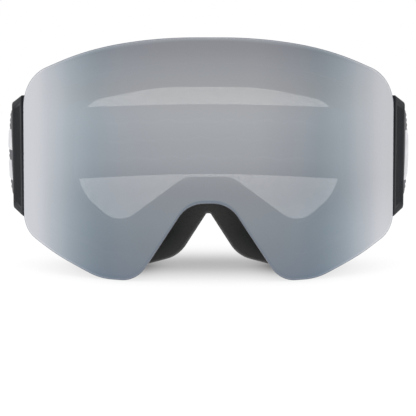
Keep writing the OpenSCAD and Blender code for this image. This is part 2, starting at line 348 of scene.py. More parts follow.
# ---------------------------------------------------------------- materials
class Tree:
    """A small wrapper that makes and wires shader nodes."""

    def __init__(self, tree):
        self.tree = tree

    def node(self, kind, **values):
        n = self.tree.nodes.new(kind)
        for key, value in values.items():
            setattr(n, key, value)
        return n

    def link(self, a, b):
        self.tree.links.new(a, b)

    def feed(self, socket, value):
        """Gives a socket a number, a colour or the output of another node."""
        if isinstance(value, (int, float)):
            socket.default_value = value
        elif isinstance(value, tuple):
            socket.default_value = (*value, 1)
        elif value is not None:
            self.link(value, socket)

    def split(self, vector):
        """The X, Y and Z of a vector."""
        n = self.node("ShaderNodeSeparateXYZ")
        self.link(vector, n.inputs["Vector"])
        return n.outputs["X"], n.outputs["Y"], n.outputs["Z"]

    def object_place(self):
        return self.node("ShaderNodeTexCoord").outputs["Object"]

    def math(self, op, a, b=None, clamp=False):
        m = self.node("ShaderNodeMath", operation=op, use_clamp=clamp)
        self.feed(m.inputs[0], a)
        self.feed(m.inputs[1], b)
        return m.outputs[0]

    def weighted(self, a, weight_a, b, weight_b):
        """The sum of two values, each times its weight."""
        return self.math("ADD", self.math("MULTIPLY", a, weight_a), self.math("MULTIPLY", b, weight_b))

    def mix(self, fac, a, b, kind="MIX"):
        m = self.node("ShaderNodeMix", data_type="RGBA", blend_type=kind)
        for k, value in ((0, fac), (6, a), (7, b)):
            self.feed(m.inputs[k], value)
        return m.outputs[2]

    def ramp(self, fac, stops, interpolation="LINEAR"):
        r = self.node("ShaderNodeValToRGB")
        self.link(fac, r.inputs["Fac"])
        r.color_ramp.interpolation = interpolation
        elements = r.color_ramp.elements
        while len(elements) < len(stops):
            elements.new(0.5)
        for k, (place, value) in enumerate(stops):
            elements[k].position = place
            elements[k].color = (*value, 1) if isinstance(value, tuple) else (value, value, value, 1)
        return r.outputs["Color"]


class Nodes(Tree):
    """The node tree of a new material with one Principled shader."""

    def __init__(self, name, color, roughness, metallic=0.0, specular=0.5):
        self.mat = bpy.data.materials.new(name)
        self.mat.use_nodes = True
        super().__init__(self.mat.node_tree)
        self.bsdf = self.tree.nodes["Principled BSDF"]
        self.value("Base Color", (*color, 1))
        self.value("Roughness", roughness)
        self.value("Metallic", metallic)
        self.value("Specular IOR Level", specular)

    def value(self, socket, value):
        self.bsdf.inputs[socket].default_value = value

    def to(self, socket, value):
        self.link(value, self.bsdf.inputs[socket])

    def sheen(self, weight, roughness):
        self.value("Sheen Weight", weight)
        self.value("Sheen Roughness", roughness)

    def coords(self, scale=(1, 1, 1)):
        mapping = self.node("ShaderNodeMapping")
        mapping.inputs["Scale"].default_value = scale
        self.link(self.object_place(), mapping.inputs["Vector"])
        return mapping.outputs["Vector"]

    def noise(self, scale, detail=3.0, rough=0.5, vector=None):
        n = self.node("ShaderNodeTexNoise")
        n.inputs["Scale"].default_value = scale
        n.inputs["Detail"].default_value = detail
        n.inputs["Roughness"].default_value = rough
        self.link(vector or self.coords(), n.inputs["Vector"])
        return n.outputs["Fac"]

    def bump(self, height, strength, distance):
        b = self.node("ShaderNodeBump")
        b.inputs["Strength"].default_value = strength
        b.inputs["Distance"].default_value = distance
        self.link(height, b.inputs["Height"])
        self.to("Normal", b.outputs["Normal"])


def lens_mirror_material():
    """Silver mirror coat on the front of the lens; a fifth of the light goes through it."""
    n = Nodes("lens_mirror", (0.71, 0.73, 0.76), 0.03, metallic=1.0)
    n.value("Alpha", 0.80)
    n.to("Roughness", n.ramp(n.noise(28, 5, 0.6), [(0.35, 0.02), (0.75, 0.045)]))
    tint = n.noise(9, 2, 0.5, n.coords((1, 1, 0.6)))
    n.to("Base Color", n.ramp(tint, [(0.3, (0.70, 0.725, 0.76)), (0.7, (0.725, 0.74, 0.765))]))
    return n.mat


def lens_tint_material():
    """Grey tint of the lens body, on its rear side."""
    n = Nodes("lens_tint", (0.02, 0.02, 0.022), 0.05)
    n.value("Alpha", 0.40)
    n.to("Roughness", n.ramp(n.noise(30, 4), [(0.3, 0.03), (0.8, 0.07)]))
    return n.mat


def lens_edge_material():
    n = Nodes("lens_edge", (0.16, 0.17, 0.20), 0.25)
    n.to("Base Color", n.ramp(n.noise(220, 2), [(0.3, (0.14, 0.15, 0.18)), (0.7, (0.20, 0.21, 0.25))]))
    return n.mat


def clear_material():
    n = Nodes("lens_clear", (0.80, 0.83, 0.86), 0.03)
    n.value("Alpha", 0.03)
    n.to("Roughness", n.ramp(n.noise(30, 4), [(0.3, 0.02), (0.8, 0.05)]))
    return n.mat


def moulded_material(name, color, lighter, roughness, grain=900, depth=0.00006, specular=0.4, speckle_and_shade=0.0):
    """Moulded plastic or rubber: fine grain, slight wear on what stands proud, and, if asked for, fine
    speckles and a painted shade, palest round the nose arch.
    """
    n = Nodes(name, color, roughness, specular=specular)
    fine = n.noise(grain, 3, 0.6)
    broad = n.noise(18, 4, 0.55)
    point = n.node("ShaderNodeNewGeometry").outputs["Pointiness"]
    worn = n.ramp(point, [(0.50, 0.0), (0.62, 1.0)])
    base = n.mix(n.ramp(broad, [(0.3, 0.0), (0.75, 0.6)]), color, lighter)
    if speckle_and_shade:
        levels = [(0.36, 1 - speckle_and_shade), (0.50, 1 - 0.4 * speckle_and_shade), (0.64, 1.0)]
        base = n.mix(1.0, base, n.ramp(n.noise(1500, 2, 0.7), levels), "MULTIPLY")
        # painted shade: palest round the nose arch, darkest below it, where less light reaches
        height = n.math("MULTIPLY", n.split(n.object_place())[2], 10.0)
        base = n.mix(1.0, base, n.ramp(height, [(0.17, 0.36), (0.36, 1.0), (0.56, 0.77)]), "MULTIPLY")
    scuffed = tuple(min(1, c * 2.4) for c in lighter)
    n.to("Base Color", n.mix(n.math("MULTIPLY", worn, 0.35), base, scuffed))
    n.to("Roughness", n.ramp(broad, [(0.3, roughness - 0.06), (0.7, roughness + 0.08)]))
    n.bump(fine, 0.5, depth)
    return n.mat


def foam_material(name, color, lighter, cell=1500, strength=0.9, depth=0.00022):
    """Open-cell foam: pores of two sizes in bump, with painted shade darkening the pits of the larger ones.
    """
    n = Nodes(name, color, 0.92, specular=0.15)
    pores = n.node("ShaderNodeTexVoronoi", feature="F1")
    pores.inputs["Scale"].default_value = cell
    n.link(n.coords(), pores.inputs["Vector"])
    cells = n.ramp(pores.outputs["Distance"], [(0.10, 0.0), (0.55, 1.0)])
    fine = n.noise(cell * 1.7, 3, 0.7)
    broad = n.noise(40, 4, 0.6)
    base = n.mix(n.ramp(broad, [(0.3, 0.0), (0.75, 1.0)]), color, lighter)
    # painted shade: the colour darkens in the pits of the pores
    pits = n.math("MULTIPLY", n.math("SUBTRACT", 1.0, cells), 0.55)
    n.to("Base Color", n.mix(pits, base, tuple(c * 0.35 for c in color)))
    n.bump(n.math("ADD", cells, n.math("MULTIPLY", fine, 0.5)), strength, depth)
    n.sheen(0.08, 0.6)
    return n.mat


def fleece_material():
    """Short brushed pile."""
    n = Nodes("fleece", (0.020, 0.020, 0.022), 0.95, specular=0.1)
    clump = n.noise(420, 5, 0.75)
    hair = n.noise(2600, 2, 0.8)
    n.to("Base Color", n.ramp(n.weighted(clump, 0.6, hair, 0.4),
                              [(0.35, (0.012, 0.012, 0.013)), (0.68, (0.062, 0.062, 0.066))]))
    n.bump(n.math("ADD", clump, n.math("MULTIPLY", hair, 0.7)), 0.9, 0.00035)
    n.sheen(0.35, 0.5)
    return n.mat


def webbing_material(name, color, lighter):
    """Knitted elastic: ribs along its length, crossed by fine weft, with a heathered colour."""
    n = Nodes(name, color, 0.86, specular=0.12)
    rib_pitch, weft_pitch = 0.95, 0.7
    along, across, _ = n.split(n.node("ShaderNodeUVMap", uv_map="Path").outputs["UV"])
    rib = n.math("SINE", n.math("MULTIPLY", across, 2 * math.pi / rib_pitch))
    weft = n.math("SINE", n.weighted(along, 2 * math.pi / weft_pitch, rib, 1.1))
    height = n.weighted(rib, 0.5, weft, 0.35)
    shade = n.math("ADD", n.math("MULTIPLY", height, 0.35), 0.5, clamp=True)
    heather = n.noise(1100, 3, 0.7, n.coords((1, 1, 3)))
    base = n.mix(n.ramp(heather, [(0.35, 0.0), (0.68, 1.0)]), color, lighter)
    shaded = n.ramp(shade, [(0.1, 0.75), (0.7, 0.0)])
    n.to("Base Color", n.mix(shaded, base, tuple(c * 0.35 for c in color)))
    n.bump(height, 0.4, 0.00010)
    n.sheen(0.22, 0.45)
    return n.mat


def print_material():
    """Raised rubber print, off white, with the knit telegraphing through it."""
    n = Nodes("strap_print", (0.80, 0.80, 0.82), 0.45, specular=0.4)
    blot = n.noise(160, 4, 0.6)
    n.to("Base Color", n.ramp(blot, [(0.35, (0.58, 0.58, 0.605)), (0.65, (0.68, 0.68, 0.70))]))
    n.bump(n.noise(900, 3, 0.6), 0.5, 0.00008)
    return n.mat


def silicone_material():
    n = Nodes("silicone", (0.10, 0.10, 0.115), 0.32, specular=0.4)
    n.value("Subsurface Weight", 0.08)
    n.to("Base Color", n.ramp(n.noise(300, 3), [(0.3, (0.085, 0.085, 0.10)), (0.7, (0.125, 0.125, 0.14))]))
    n.bump(n.noise(600, 3), 0.3, 0.00005)
    return n.mat


def steel_material(name, color, roughness):
    n = Nodes(name, color, roughness, metallic=1.0)
    streak = n.noise(900, 4, 0.6, n.coords((1, 1, 0.05)))
    n.to("Roughness", n.ramp(streak, [(0.3, roughness - 0.08), (0.7, roughness + 0.12)]))
    n.bump(streak, 0.25, 0.00002)
    return n.mat


def thread_material():
    n = Nodes("thread", (0.30, 0.30, 0.33), 0.7, specular=0.3)
    twist = n.node("ShaderNodeTexWave", bands_direction="DIAGONAL")
    twist.inputs["Scale"].default_value = 900
    n.link(n.coords(), twist.inputs["Vector"])
    n.to("Base Color", n.ramp(twist.outputs["Fac"], [(0.2, (0.09, 0.09, 0.10)), (0.8, (0.18, 0.18, 0.20))]))
    n.bump(twist.outputs["Fac"], 0.6, 0.00006)
    return n.mat


M = {
    "mirror": lens_mirror_material(),
    "tint": lens_tint_material(),
    "lens_edge": lens_edge_material(),
    "clear": clear_material(),
    "gasket": foam_material("gasket", (0.030, 0.030, 0.032), (0.05, 0.05, 0.053), 2200, 0.6, 0.0001),
    "carrier": moulded_material("carrier", (0.020, 0.021, 0.024), (0.032, 0.033, 0.036), 0.42),
    "frame": moulded_material("frame_soft", (0.081, 0.082, 0.077), (0.109, 0.108, 0.100), 0.6, 700, 0.00008,
                              speckle_and_shade=0.3),
    "outrigger": moulded_material("outrigger", (0.007, 0.008, 0.010), (0.011, 0.012, 0.0145), 0.52, 1100,
                                  specular=0.14),
    "adjuster": moulded_material("adjuster", (0.018, 0.018, 0.020), (0.026, 0.026, 0.029), 0.34, 1300,
                                 0.00003),
    "foam_firm": foam_material("foam_firm", (0.135, 0.139, 0.135), (0.190, 0.193, 0.188), 1500),
    "foam_soft": foam_material("foam_soft", (0.085, 0.087, 0.092), (0.115, 0.118, 0.124), 1100, 1.0, 0.0003),
    "vent_foam": foam_material("vent_foam", (0.035, 0.035, 0.037), (0.055, 0.055, 0.058), 900, 1.0, 0.0004),
    "fleece": fleece_material(),
    "webbing": webbing_material("webbing", (0.052, 0.048, 0.062), (0.082, 0.077, 0.096)),
    "tail": webbing_material("webbing_inner", (0.042, 0.040, 0.050), (0.068, 0.065, 0.078)),
    "keeper": webbing_material("keeper", (0.022, 0.022, 0.024), (0.042, 0.042, 0.046)),
    "print": print_material(),
    "silicone": silicone_material(),
    "steel": steel_material("steel", (0.62, 0.62, 0.64), 0.28),
    "magnet": steel_material("magnet", (0.55, 0.55, 0.57), 0.32),
    "thread": thread_material(),
}


def dress(piece, body, slot, *nodes):
    """Puts a piece on its body and hides the CAD nodes it stands for; the slot is not used."""
    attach(piece, body)
    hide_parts(*nodes)


def dress_both(right, body, slot, node):
    """Dresses a right-hand piece and its mirror image; {} in a name stands for the side."""
    left = mirror_x(right, right.name.replace("right", "left"))
    for side, piece in (("right", right), ("left", left)):
        dress(piece, body.format(side), slot, node.format(side))


# ---------------------------------------------------------------- lens
def lens_grid(margin, columns=120, rows=56):
    """Front-view points over the lens outline, as columns of constant x that are closest at the sides."""
    dense = rounded(inset(mirrored(LENS_HALF), margin), 0.75)
    right = dense[dense[:, 0] >= 0]
    widest = right[:, 0].max()
    first = int(np.argmax(right[:, 0]))
    last = len(right) - 1 - int(np.argmax(right[::-1, 0] > widest - 1e-6))
    top, low = right[: first + 1], right[last:][::-1]
    xs = widest * np.sin(np.linspace(-math.pi / 2, math.pi / 2, 2 * columns + 1))
    hi, lo = (np.interp(np.abs(xs), line[:, 0], line[:, 1]) for line in (top, low))
    x = np.repeat(xs[:, None], rows + 1, 1)
    z = lo[:, None] + (hi - lo)[:, None] * np.linspace(0, 1, rows + 1)[None, :]
    return np.stack([x, z], -1)


def lens_sheet(name, r_front, r_back, margin, material, edge_material, back_material):
    """A curved sheet cut to the lens outline, with eased edges."""
    grid = lens_grid(margin + 0.3)
    nc, nr = grid.shape[:2]
    count = nc * nr
    index = np.arange(count).reshape(nc, nr)
    rim = np.concatenate([index[:-1, -1], index[-1, :0:-1], index[:0:-1, 0], index[0, :-1]])
    flat = grid.reshape(-1, 2)
    edge = flat[rim]
    tangent = np.roll(edge, -1, 0) - np.roll(edge, 1, 0)
    tangent /= np.maximum(np.linalg.norm(tangent, axis=1, keepdims=True), 1e-9)
    outward = np.column_stack([-tangent[:, 1], tangent[:, 0]])
    verts = [on_lens(flat, r_front), on_lens(flat, r_back)]
    rings = [rim]
    base = 2 * count
    depth = r_front - r_back
    for out, r in ((0.18, r_front - 0.04), (0.30, r_front - 0.25 * depth),
                   (0.30, r_back + 0.25 * depth), (0.18, r_back + 0.04)):
        verts.append(on_lens(edge + out * outward, r))
        rings.append(np.arange(base, base + len(rim)))
        base += len(rim)
    rings.append(rim + count)
    faces, slots = [], []
    for a in range(nc - 1):
        for b in range(nr - 1):
            q = (index[a, b], index[a + 1, b], index[a + 1, b + 1], index[a, b + 1])
            faces += [q, tuple(count + v for v in q[::-1])]
            slots += [0, 2]
    for a, b in zip(rings[:-1], rings[1:]):
        k = len(a)
        faces += [(a[i], a[(i + 1) % k], b[(i + 1) % k], b[i]) for i in range(k)]
        slots += [1] * k
    return fix_normals(mesh_object(name, np.vstack(verts), faces, material, 60,
                                   (edge_material, back_material), slots))


def section_ring(name, section, material):
    """A closed ring inside the lens outline, whose section is given as (inset, radius) pairs."""
    return lofted(name, [on_lens(lens_loop(t), radius) for t, radius in section], material)


def soft_section(t0, t1, r_out, r_in, ease):
    """A four-sided section with eased corners, as (inset, radius) pairs."""
    points = []
    for k, (t, r, st, sr) in enumerate(((t0, r_out, 1, -1), (t1, r_out, -1, -1),
                                        (t1, r_in, -1, 1), (t0, r_in, 1, 1))):
        bend = [(1, 0), (0.45, 0.12), (0.12, 0.45), (0, 1)][::1 if k % 2 else -1]
        points += [(t + st * ease * a, r + sr * ease * b) for a, b in bend]
    return points


def build_lens():
    """Two lens sheets with a spacer between them, on a carrier ring with seats for the magnets."""
    outer = lens_sheet("outer_lens_sheet", LENS_R, R1, 0.0, M["mirror"], M["lens_edge"], M["tint"])
    dress(outer, "lens", "lens_mirror", "outer_lens")
    inner = lens_sheet("inner_lens_sheet", R2, R3, 2.5, M["clear"], M["lens_edge"], M["clear"])
    dress(inner, "lens", "lens_clear", "inner_lens")
    # the spacer's front lip blacks out the lens nearly to its edge
    lip = [(0.6, R1), (0.45, R1 - 0.12), (0.6, R1 - 0.3), (2.3, R1 - 0.4), (2.5, R1 - 0.6), (2.5, R2 + 0.25),
           (2.75, R2), (7.25, R2), (7.5, R2 + 0.25), (7.5, R1 - 0.25), (7.25, R1)]
    gasket = section_ring("lens_spacer", lip, M["gasket"])
    dress(gasket, "lens", "gasket", "lens_gasket")
    carrier = section_ring("carrier_ring", soft_section(4, 11, R3, R4, 0.45), M["carrier"])
    cut_seats(carrier, R4 + 1.4, 3.0)
    dress(carrier, "lens", "carrier", "lens_carrier")


SEATS = [(28, 98.2), (62, 91.6), (79.9, 54), (56, 11.5)]      # x and z of the magnets, on each half
SEAT_R = 3.12


def cut_seats(obj, radius, deep):
    """Round pockets for the magnets, starting at a radius of the lens cylinder and running inwards."""
    cutters = []
    for x, z in SEATS:
        for side in (-1, 1):
            turn = Matrix.Rotation(side * math.asin(x / R4), 4, "Z")
            place = (Matrix.Translation(Vector((0, LENS_AXIS, z)) * MM) @ turn
                     @ Matrix.Translation(Vector((0, -radius, 0)) * MM)
                     @ Matrix.Rotation(-math.pi / 2, 4, "X"))
            cutters.append(round_bar("cut", (0, 0), SEAT_R, 0, deep, obj.data.materials[0]))
            cutters[-1].data.transform(place)
    cut_away(obj, cutters)
    obj.data.set_sharp_from_angle(angle=math.radians(40))


# ---------------------------------------------------------------- frame
KNUCKLE_R = 2.9                                   # round the hinge pin, on lugs and knuckle alike
LUGS = ((33, 43.4), (64.6, 75))                   # z of the lugs, below and above the outrigger's knuckle


def lug(z0, z1):
    """A hinge lug on the right side of the ring."""
    outline = ([(78.6, y_of(56.2)), (83.4, y_of(54.2))] + arc(HINGE, KNUCKLE_R, -60, 130, 16)
               + [(80.4, y_of(61.2))])
    return prism("lug", outline, z0, z1, M["frame"], 0.35)


def build_frame_ring():
    """The ring that the lens sits on, with two hinge lugs on each side."""
    ring = section_ring("ring", soft_section(4, 11, R5, R6, 0.7), M["frame"])
    cut_seats(ring, R5 + 1.2, 2.65)
    parts = [ring]
    for z0, z1 in LUGS:
        one = lug(z0, z1)
        parts += [mirror_x(one, "lug_mirror"), one]
    dress(joined("front_ring", parts), "frame", "frame_soft", "frame_ring")


def vent_cutter(width, deep, high, r, place):
    """A block with rounded corners, centred on the place."""
    outline = rounded_rectangle(-width / 2, width / 2, -deep / 2, deep / 2, r, 7)
    return prism("cut", outline, -high / 2, high / 2, M["frame"], 0, place=place)


TOP_VENTS = ((-41, 25, 17), (0, 16.5, 19), (41, 25, 17))      # x, depth of the front edge, size in depth


def build_skirt():
    """The soft skirt between front ring and face flange, with its vent windows cut out."""
    front, wall = 5.2, 1.8
    wall_out, wall_in = lens_loop(front), lens_loop(front + wall)
    flange_out, flange_rim = face_loop(0.8), face_loop(1.2)
    opening, opening_rim = open_loop(-2.0), open_loop(-2.4)
    rf = FACE_R + FLANGE_T
    a, b = on_lens(wall_out, R6), on_face(wall_out, rf)
    rings = [a]
    # the wall draws in slightly at its waist
    for f, pull in ((0.12, 0.25), (0.3, 0.6), (0.5, 0.75), (0.7, 0.6), (0.86, 0.25)):
        ring = a + (b - a) * f
        narrowed = on_lens(lens_loop(front + pull), R6)
        ring[:, 0], ring[:, 2] = narrowed[:, 0], narrowed[:, 2]
        rings.append(ring)
    rings += [on_face(wall_out, rf + 0.9), on_face(wall_out * 0.6 + flange_out * 0.4, rf + 0.15),
              on_face(flange_rim, rf), on_face(flange_out, rf - 0.4), on_face(flange_out, FACE_R + 0.4),
              on_face(flange_rim, FACE_R), on_face(opening_rim, FACE_R), on_face(opening, FACE_R + 0.4),
              on_face(opening, rf - 0.4), on_face(opening_rim, rf),
              on_face(opening_rim * 0.35 + wall_in * 0.65, rf + 0.1), on_face(wall_in, rf + 1.2)]
    c, d = on_face(wall_in, rf + 1.2), on_lens(wall_in, R6)
    rings += [c + (d - c) * f for f in (0.35, 0.7)] + [d]
    skirt = lofted("face_skirt", rings, M["frame"])
    cutters = []
    for x, front_edge, deep in TOP_VENTS:
        place = Matrix.Translation(Vector((x, y_of(front_edge + deep / 2), 100)) * MM)
        cutters.append(vent_cutter(32, deep, 30, 3.5, place))
    for side in (-1, 1):
        place = (Matrix.Translation(Vector((66 * side, y_of(46), 7)) * MM)
                 @ Matrix.Rotation(math.radians(-25 * side), 4, "Y"))
        cutters.append(vent_cutter(26, 10, 24, 3, place))
    cut_away(skirt, cutters)
    skirt.data.set_sharp_from_angle(angle=math.radians(40))
    dress(skirt, "frame", "frame_soft", "frame_skirt", "face_flange")


# ---------------------------------------------------------------- face foam
def cloth_relaxed(obj, loose, frames=22, enlarge=20.0, limit=1.1):
    """Lets the fabric between its glued edges swell and pucker by a short cloth simulation.

    loose lists the vertices that may move. The mesh is simulated enlarged, where the solver is at ease.
    """
    rest = np.array([v.co for v in obj.data.vertices])
    obj.data.transform(Matrix.Scale(enlarge, 4))
    pinned = np.setdiff1d(np.arange(len(rest)), loose)
    group = obj.vertex_groups.new(name="pin")
    group.add([int(i) for i in pinned], 1.0, "REPLACE")
    m = obj.modifiers.new("cloth", "CLOTH")
    m.settings.vertex_group_mass = "pin"
    m.settings.quality = 6
    m.settings.mass = 0.3
    m.settings.tension_stiffness = m.settings.compression_stiffness = 25
    m.settings.shear_stiffness = 8
    m.settings.bending_stiffness = 0.4
    m.settings.use_pressure = True
    m.settings.uniform_pressure_force = 14.0
    m.settings.shrink_min = -0.035
    m.settings.effector_weights.gravity = 0
    m.collision_settings.use_collision = False
    m.point_cache.frame_start, m.point_cache.frame_end = 1, frames
    scene = bpy.context.scene
    for f in range(1, frames + 1):
        scene.frame_set(f)
    dg = bpy.context.evaluated_depsgraph_get()
    done = obj.evaluated_get(dg).to_mesh()
    moved = np.array([v.co for v in done.vertices]) / enlarge
    obj.evaluated_get(dg).to_mesh_clear()
    obj.modifiers.clear()
    obj.vertex_groups.clear()
    scene.frame_set(1)
    step = moved - rest
    size = np.linalg.norm(step, axis=1, keepdims=True)
    step *= np.minimum(1.0, limit * MM / np.maximum(size, 1e-9))
    obj.data.vertices.foreach_set("co", (rest + step).ravel())
    obj.data.update()
    return obj


def foam_ring(name, r_out, r_in, outer_t, inner_t, bulge, ease, material, wobble=0.12, columns=4):
    """A foam layer: eased edges, sides that swell between their glued faces, hand-cut waviness.

    The insets outer_t and inner_t move its rims inwards from the face outline and from the opening.
    """
    thick = r_out - r_in
    levels = [(ease, 0.0), (0.35 * ease, 0.08), (0.0, 0.25), (-bulge, 0.5), (0.0, 0.75),
              (0.35 * ease, 0.92), (ease, 1.0)]
    mid_out, mid_in = face_loop(outer_t + 2.2), open_loop(-inner_t - 2.2)
    swell = 0.5 if columns > 4 else 0.1
    rings = [on_face(face_loop(outer_t + t), r_out - f * thick) for t, f in levels]
    rings += [on_face(mid_out * (1 - f) + mid_in * f, r_in - swell * math.sin(math.pi * f))
              for f in np.linspace(0.0, 1.0, columns)]
    rings += [on_face(open_loop(-inner_t - t), r_out - f * thick) for t, f in reversed(levels)]
    rings += [on_face(mid_in * (1 - f) + mid_out * f, r_out) for f in (0.0, 0.5, 1.0)]
    n = len(rings[0])
    phase = RNG.uniform(0, 2 * math.pi, 4)
    s = np.arange(n) / n * 2 * math.pi
    wave = sum(np.sin((5 + 4 * k) * s + phase[k]) / (1 + k) for k in range(4)) * wobble
    for k in range(3, 5):
        rings[k][:, 1] += wave * 0.4
    for ring in rings:
        ring[:, 2] = np.maximum(ring[:, 2], 0.02)
    return lofted(name, rings, material)


def build_foam():
    """Three layers on the face flange; only the fleece gets a cloth simulation."""
    firm = foam_ring("foam_firm_layer", FACE_R, F2, 0.0, 0.0, 0.25, 0.5, M["foam_firm"])
    soft = foam_ring("foam_soft_layer", F2, F3, 0.0, 0.0, 0.5, 0.8, M["foam_soft"])
    columns = 9
    fleece = foam_ring("fleece_face", F3, F4, 0.8, 0.4, 0.2, 0.7, M["fleece"], 0.2, columns)
    around = 2 * sum(STEPS)
    side_levels = 7
    cloth_relaxed(fleece, np.arange((side_levels - 1) * around, (side_levels + columns + 1) * around))
    for piece, slot, node in ((firm, "foam_firm", "foam_base"), (soft, "foam_soft", "foam_mid"),
                              (fleece, "fleece", "face_fleece")):
        dress(piece, "frame", slot, node)


def build_vent_foams():
    """Open-cell pads behind the vent windows: soft edges, an uneven surface and a slight swell."""
    bpy.context.view_layer.update()
    for node in ("top_vent_foam", "lower_vent_foam_left", "lower_vent_foam_right"):
        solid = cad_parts[node]
        data = solid.data.copy()
        data.transform(solid.matrix_world)
        data.materials.clear()
        data.materials.append(M["vent_foam"])
        pad = linked(node + "_pad", data)
        remesh = pad.modifiers.new("remesh", "REMESH")
        remesh.mode, remesh.voxel_size, remesh.use_smooth_shade = "VOXEL", 0.9 * MM, True
        smooth = pad.modifiers.new("smooth", "SMOOTH")
        smooth.factor, smooth.iterations = 0.5, 4
        apply_modifiers(pad)
        for v in pad.data.vertices:
            swell = 0.10 * noise.noise(v.co * 90) + 0.05 * noise.noise(v.co * 420)
            v.co += v.normal * swell * MM
        pad.data.update()
        dress(pad, "frame", "vent_foam", node)


# ---------------------------------------------------------------- outriggers, right side
OUT_AT = (88.5, 49.5)                             # x and depth of the cover plate's front end
OUT_A = 27.0                                      # how far it turns inwards, in degrees
KNUCKLE_H, PIN_BORE_R = 20.4, 1.55
ARM_R, ARM_T = 3.0, 2.9
PLATE = {"length": 16.4, "front": (28.8, -30.0), "rear": (24.9, -26.6)}


def out_frame():
    """Local axes of the cover plate: Y along it, X outwards."""
    return (Matrix.Translation(Vector((OUT_AT[0], y_of(OUT_AT[1]), 0)) * MM)
            @ Matrix.Rotation(math.radians(-OUT_A), 4, "Z"))


def plate_loop(t):
    """The cover plate's outline in (along, height), inset by t, with rounded corners."""
    front, rear = PLATE["front"], PLATE["rear"]
    corners = [(0, front[0], 1.6), (PLATE["length"], rear[0], 2.4), (PLATE["length"], rear[1], 2.4),
               (0, front[1], 1.6)]
    return rounded(inset(corners, t), 10)


def in_plan(points):
    """Plan points of the cover plate's axes, in those of the frame."""
    return [tuple((out_frame() @ (Vector((x, y, 0)) * MM) / MM)[:2]) for x, y in points]


def cover_plate():
    """The plate with its eased rim and a shallow recess: (inset, outward place) from its inner face on."""
    layers = [(0.9, -2.4), (0.3, -2.2), (0.0, -1.8), (0.0, -0.3), (0.35, 0.2), (1.0, 0.4),
              (2.6, 0.4), (2.8, 0.35), (2.95, 0.27)]
    rings = []
    for t, x in layers:
        loop = plate_loop(t)
        rings.append(np.column_stack([np.full(len(loop), x), loop[:, 0], STRAP_Z + loop[:, 1]]))
    plate = lofted("plate", rings, M["outrigger"], False, 30)
    plate.data.transform(out_frame())
    return plate


def grip_rib(y0):
    """A fine upright rib in the recess."""
    high, low = (a - (a - b) * y0 / PLATE["length"] for a, b in zip(PLATE["front"], PLATE["rear"]))
    outline = [(0, y0), (0.34, y0 + 0.12), (0.38, y0 + 0.26), (0.34, y0 + 0.4), (0, y0 + 0.52)]
    return prism("rib", outline, STRAP_Z + low + 4.4, STRAP_Z + high - 4.4, M["outrigger"], 0,
                 place=out_frame())


def build_outriggers():
    parts = [cover_plate()] + [grip_rib(4.0 + k) for k in range(9)]
    # knuckle with its web, bored for the hinge pin
    knuckle = arc(HINGE, KNUCKLE_R, 105, 385, 26) + in_plan([(-1.2, 7.4), (-1.2, 12.6)])
    parts.append(prism("knuckle", knuckle, STRAP_Z - KNUCKLE_H / 2, STRAP_Z + KNUCKLE_H / 2, M["outrigger"],
                       bore=(HINGE, PIN_BORE_R)))
    # arms that hold the strap bar
    arm = arc(BAR, ARM_R, -20, 150, 18) + in_plan([(-5.4, 11.2), (-0.5, 11.2)])
    clear = STRAP_H / 2 + 0.5
    for z0 in (STRAP_Z + clear, STRAP_Z - clear - ARM_T):
        parts.append(prism("arm", arm, z0, z0 + ARM_T, M["outrigger"], 0.45))
    dress_both(joined("outrigger_right_body", parts), "outrigger_{}", "outrigger", "outrigger_{}")


# ---------------------------------------------------------------- strap
# seen from above, the right half is a front bow, a straight side, a corner and a rear bow; the angles are
# those of the outward directions, in degrees
STRAP_T = 2.0
SIDE_A = 6.0
SIDE_L = 49.0
REAR_R, REAR_A = 190.9, 23.0
CORNER_R, FRONT_R, FRONT_A = 35.0, 90.0, -22.0
SWELL = 0.4                                       # how far the front bow stands out in its middle
JOIN = 2.4                                        # where the front stretch meets the main strap
FOLD = (-17.5, -28.0)                             # where the folded end starts and leaves the strap
REAR_LIFT = 2.3                                   # how much higher the strap's rear middle lies
REAR_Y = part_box("strap_main")[1].y / MM           # outer face of the strap at the rear


def direction(degrees):
    a = math.radians(degrees)
    return np.array([math.cos(a), math.sin(a)])


REAR_C = np.array([0.0, REAR_Y - STRAP_T / 2 - REAR_R])
CORNER_C = REAR_C + (REAR_R - CORNER_R) * direction(90 - REAR_A)
SIDE_0 = CORNER_C + CORNER_R * direction(SIDE_A) - SIDE_L * direction(90 + SIDE_A)
FRONT_C = SIDE_0 - FRONT_R * direction(SIDE_A)
BOW_L = math.radians(SIDE_A - FRONT_A) * FRONT_R
CORNER_L = math.radians(90 - REAR_A - SIDE_A) * CORNER_R
REAR_L = math.radians(REAR_A) * REAR_R


def path(s):
    """Point and outward direction of the strap's middle on the right side.

    s is 0 where the straight stretch starts, negative on the front bow, and runs to the rear middle.
    """
    if s < 0:
        a = SIDE_A + math.degrees(s / FRONT_R)
        r = FRONT_R + SWELL * math.sin(math.pi * s / BOW_L) ** 2
        return FRONT_C + r * direction(a), direction(a)
    if s <= SIDE_L:
        return SIDE_0 + s * direction(90 + SIDE_A), direction(SIDE_A)
    s -= SIDE_L
    if s <= CORNER_L:
        a = SIDE_A + math.degrees(s / CORNER_R)
        return CORNER_C + CORNER_R * direction(a), direction(a)
    s -= CORNER_L
    a = 90 - REAR_A + math.degrees(s / REAR_R)
    return REAR_C + REAR_R * direction(a), direction(a)


HALF_L = SIDE_L + CORNER_L + REAR_L               # from the straight's start to the rear middle


def band_section(thick, height):
    """Section of the webbing as (outward, up) pairs: slim, with rounded selvedges."""
    h, t = height / 2, thick / 2
    edge = [(t, h - 1.6), (t * 0.92, h - 0.7), (t * 0.6, h - 0.12), (0, h), (-t * 0.6, h - 0.12),
            (-t * 0.92, h - 0.7), (-t, h - 1.6)]
    flat = np.linspace(h - 1.6, -h + 1.6, 16)[1:-1]
    return ([(-t, z) for z in flat] + [(o, -z) for o, z in edge[::-1]]
            + [(t, -z) for z in flat] + edge)


